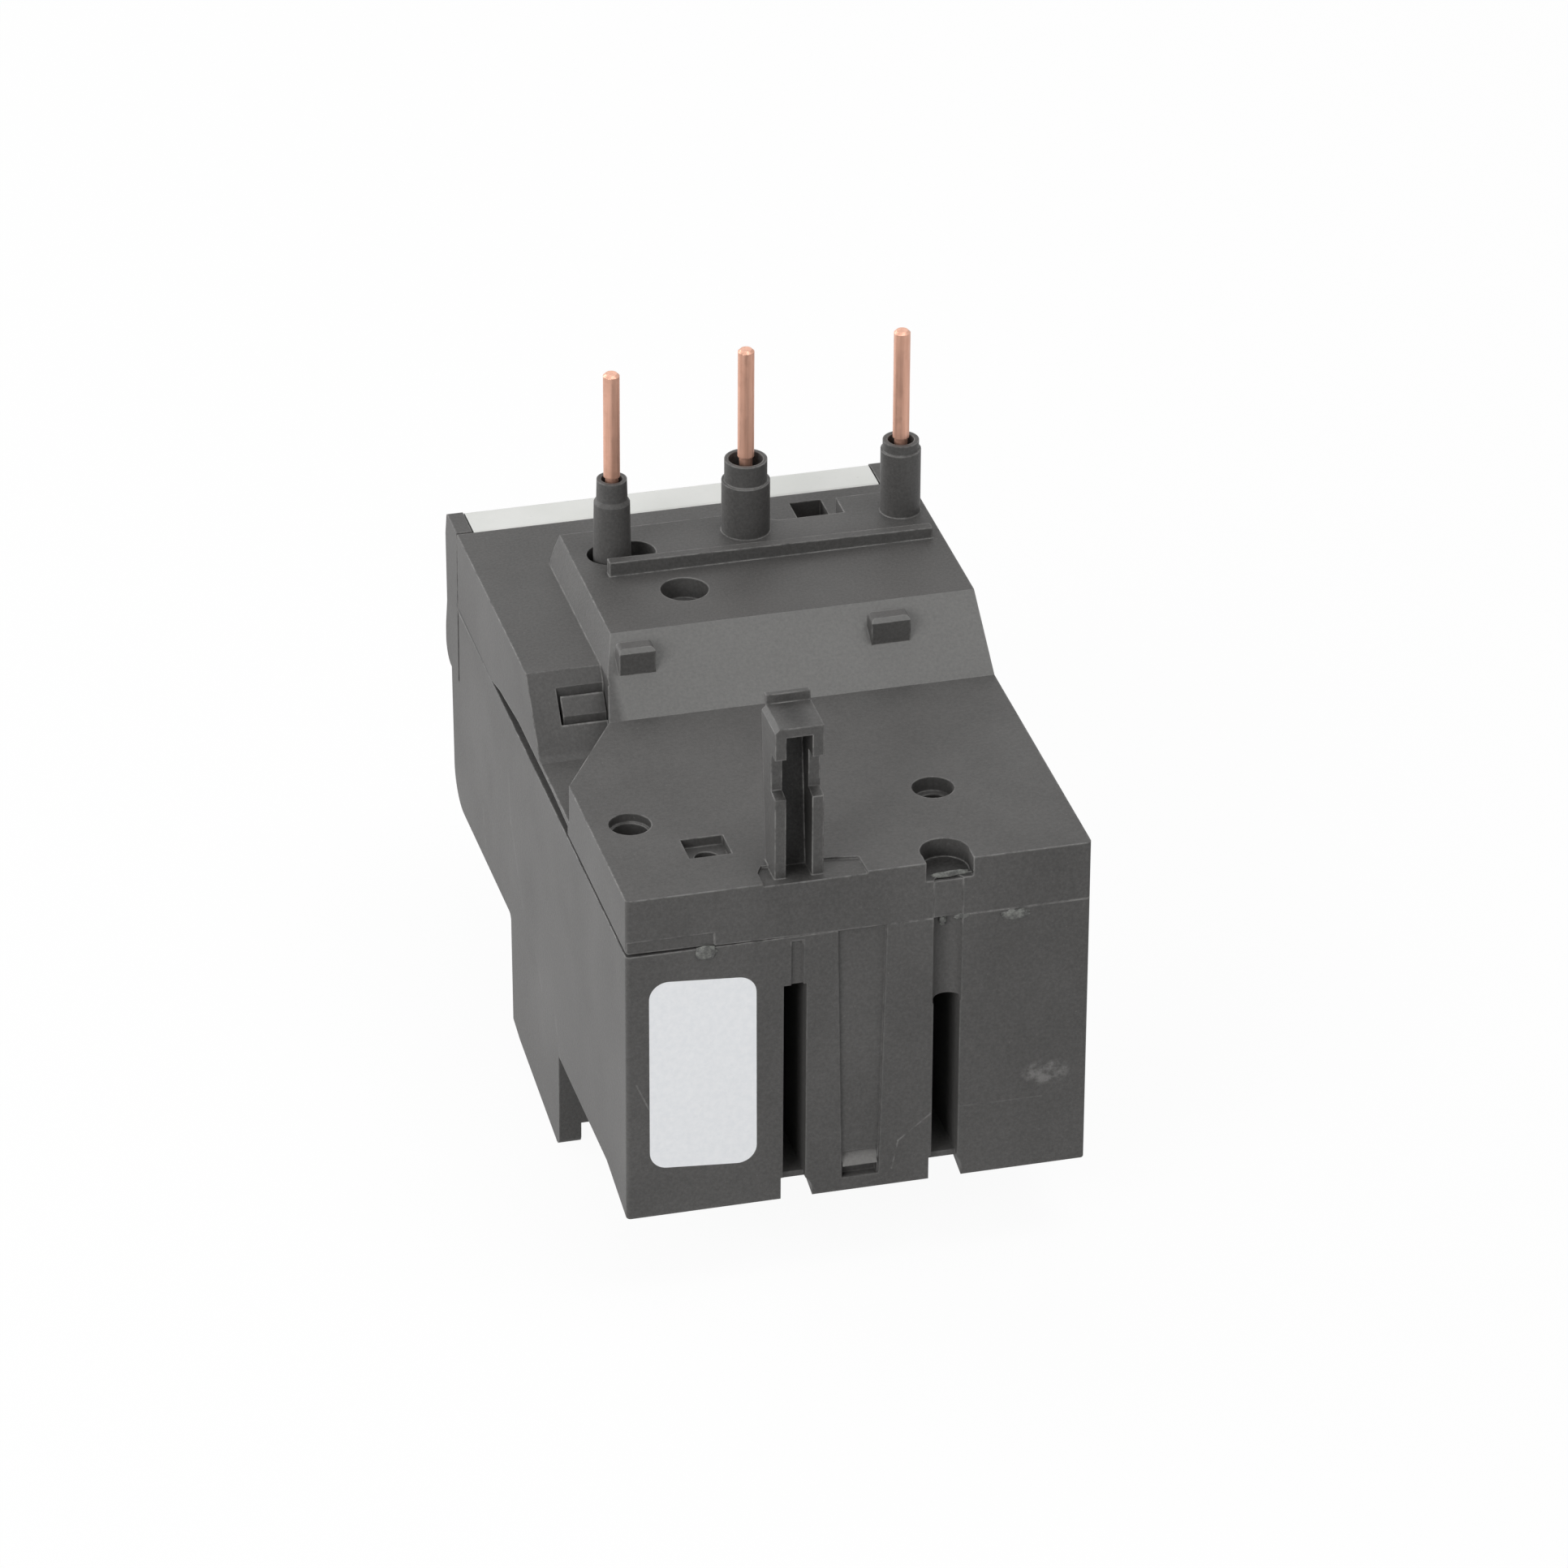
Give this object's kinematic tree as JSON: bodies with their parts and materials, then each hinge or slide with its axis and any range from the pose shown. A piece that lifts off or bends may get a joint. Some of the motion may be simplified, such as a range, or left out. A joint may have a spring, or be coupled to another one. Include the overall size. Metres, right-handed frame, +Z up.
{
  "type": "thermal overload relay",
  "caption": "Plug-in motor overload relay that hangs on a contactor by copper pins and a hook, with setting dial, reset and stop buttons under a clear flap.",
  "frame": {"origin": "under the middle of the overall box, at the height of the feet that it stands on", "axes": "+X to the right as the front is looked at, +Y to the rear face, +Z up along the contact pins"},
  "size_m": [0.045, 0.0748, 0.0686],
  "materials": {
    "housing_plastic": "fine moulded matte",
    "cover_plastic": "fine moulded matte",
    "label_paper": "satin paper",
    "panel_plastic": "fine moulded matte",
    "clear_plastic": "clear moulded",
    "dial_plastic": "satin",
    "white_plastic": "satin",
    "blue_plastic": "semi gloss",
    "red_plastic": "semi gloss",
    "orange_plastic": "satin",
    "brown_plastic": "satin",
    "spring_steel": "drawn wire",
    "contact_metal": "rolled",
    "zinc_steel": "zinc plated",
    "copper": "drawn copper, slightly dulled",
    "bimetal_metal": "rolled",
    "heater_metal": "annealed ribbon"
  },
  "bodies": {
    "relay": {"main_housing": "housing_plastic", "top_cover": "cover_plastic", "test_label": "label_paper", "front_panel": "panel_plastic", "reset_spring": "spring_steel", "stop_spring": "spring_steel", "mechanism_frame": "cover_plastic", "lever_pivot": "spring_steel", "fixed_contacts": "contact_metal", "power_screws": "zinc_steel", "power_clamps": "zinc_steel", "aux_screws": "zinc_steel", "aux_clamps": "zinc_steel", "contact_pin_1": "copper", "bimetal_1": "bimetal_metal", "heater_1": "heater_metal", "pole_conductor_1": "copper", "contact_pin_2": "copper", "bimetal_2": "bimetal_metal", "heater_2": "heater_metal", "pole_conductor_2": "copper", "bimetal_3": "bimetal_metal", "heater_3": "heater_metal", "pole_conductor_3": "copper"},
    "flap": {"flap": "clear_plastic"},
    "dial": {"setting_dial": "dial_plastic", "setting_cam": "white_plastic"},
    "selector": {"mode_selector": "dial_plastic"},
    "reset": {"reset_button": "blue_plastic"},
    "stop": {"stop_button": "red_plastic"},
    "test": {"test_slider": "white_plastic"},
    "flag": {"trip_flag": "orange_plastic"},
    "slide": {"trip_slide": "brown_plastic"},
    "difference": {"difference_slide": "brown_plastic"},
    "lever": {"trip_lever": "white_plastic"},
    "carrier": {"contact_carrier": "white_plastic", "bridge_normally_open": "contact_metal", "bridge_normally_closed": "contact_metal"},
    "left_pin": {"contact_pin_3": "copper", "sliding_sleeve": "cover_plastic"}
  },
  "joints": [
    {"name": "flap_hinge", "type": "hinge", "parent": "relay", "child": "flap", "pos_m": [0, -0.0359, 0.0316], "axis": [1, 0, 0], "range_deg": [0, 120]},
    {"name": "dial_turn", "type": "hinge", "parent": "relay", "child": "dial", "pos_m": [-0.0115, -0.0336, 0.038], "axis": [0, 1, 0], "range_deg": [-120, 120]},
    {"name": "selector_turn", "type": "hinge", "parent": "relay", "child": "selector", "pos_m": [-0.0015, -0.0336, 0.0349], "axis": [0, 1, 0], "range_deg": [0, 90]},
    {"name": "reset_press", "type": "slide", "parent": "relay", "child": "reset", "axis": [0, 1, 0], "range_m": [0, 0.0025], "stiffness_N_per_m": 400, "springref_m": -0.001, "deforming": ["reset_spring"]},
    {"name": "stop_press", "type": "slide", "parent": "relay", "child": "stop", "axis": [0, 1, 0], "range_m": [0, 0.002], "stiffness_N_per_m": 400, "springref_m": -0.001, "deforming": ["stop_spring"]},
    {"name": "test_slide", "type": "slide", "parent": "relay", "child": "test", "axis": [1, 0, 0], "range_m": [0, 0.0015], "stiffness_N_per_m": 300, "springref_m": -0.0005},
    {"name": "trip_travel", "type": "slide", "parent": "relay", "child": "slide", "axis": [1, 0, 0], "range_m": [0, 0.0015]},
    {"name": "difference_travel", "type": "slide", "parent": "relay", "child": "difference", "axis": [1, 0, 0], "range_m": [0, 0.0015]},
    {"name": "lever_turn", "type": "hinge", "parent": "relay", "child": "lever", "pos_m": [0.005, 0.0034, 0.033], "axis": [0, 0, -1], "range_deg": [0, 17.25]},
    {"name": "carrier_travel", "type": "slide", "parent": "relay", "child": "carrier", "axis": [0, 1, 0], "range_m": [0, 0.0015]},
    {"name": "flag_travel", "type": "slide", "parent": "relay", "child": "flag", "axis": [1, 0, 0], "range_m": [0, 0.003]},
    {"name": "pin_shift", "type": "slide", "parent": "relay", "child": "left_pin", "axis": [1, 0, 0], "range_m": [-0.002, 0.0004]}
  ],
  "couplings": [
    {"joint": "difference_travel", "follows": "trip_travel", "ratio": 1},
    {"joint": "lever_turn", "follows": "trip_travel", "rad_per_m": 200},
    {"joint": "carrier_travel", "follows": "trip_travel", "ratio": 1},
    {"joint": "flag_travel", "follows": "trip_travel", "ratio": 2}
  ]
}
